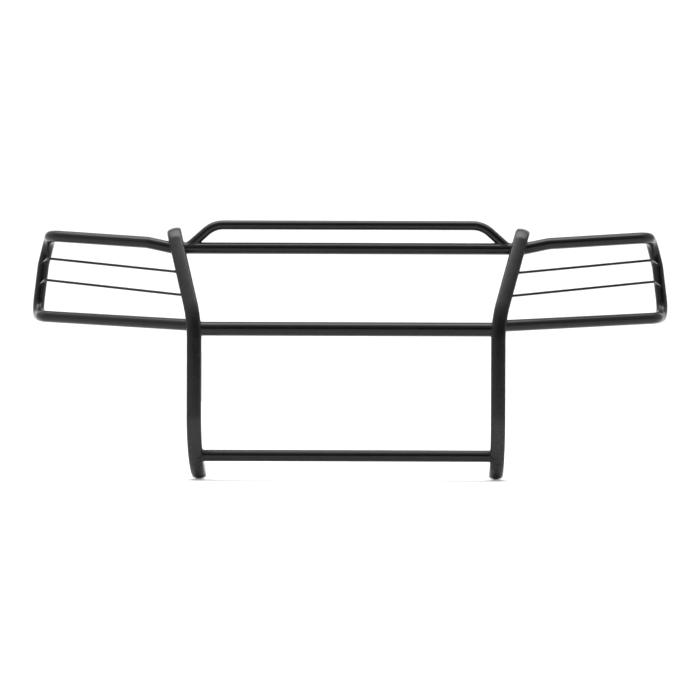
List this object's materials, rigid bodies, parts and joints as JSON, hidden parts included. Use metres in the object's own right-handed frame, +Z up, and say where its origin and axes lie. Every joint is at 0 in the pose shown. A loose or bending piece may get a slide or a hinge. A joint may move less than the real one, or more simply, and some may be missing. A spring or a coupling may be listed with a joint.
{
  "type": "vehicle front grille guard",
  "caption": "Tubular front grille guard with channel uprights, crossbars, a top hoop and wrap-around headlight brush loops crossed by thin rods.",
  "frame": {"origin": "on the guard's centre plane, at the middle of its depth, level with the lowest point of the uprights' bottom curls", "axes": "+X to the right seen from in front, +Y back towards the truck, +Z up"},
  "size_m": [1.7878, 0.3378, 0.7023],
  "materials": {
    "upright_coat": "gloss black powder coat on pressed steel",
    "tube_coat": "gloss black powder coat on bent steel tube",
    "rod_coat": "gloss black powder coat on steel rod",
    "plate_coat": "black powder coat on flat steel plate",
    "nut_zinc": "zinc plated"
  },
  "bodies": {
    "root": {"upright_left": "upright_coat", "upright_right": "upright_coat", "top_crossbar": "tube_coat", "middle_crossbar": "tube_coat", "lower_crossbar": "tube_coat", "top_hoop": "tube_coat", "brush_loop_left": "tube_coat", "brush_loop_right": "tube_coat", "upper_rod_left": "rod_coat", "upper_rod_right": "rod_coat", "lower_rod_left": "rod_coat", "lower_rod_right": "rod_coat", "mount_plate_left": "plate_coat", "mount_plate_right": "plate_coat", "weld_nuts_left": "nut_zinc", "weld_nuts_right": "nut_zinc"}
  },
  "joints": []
}
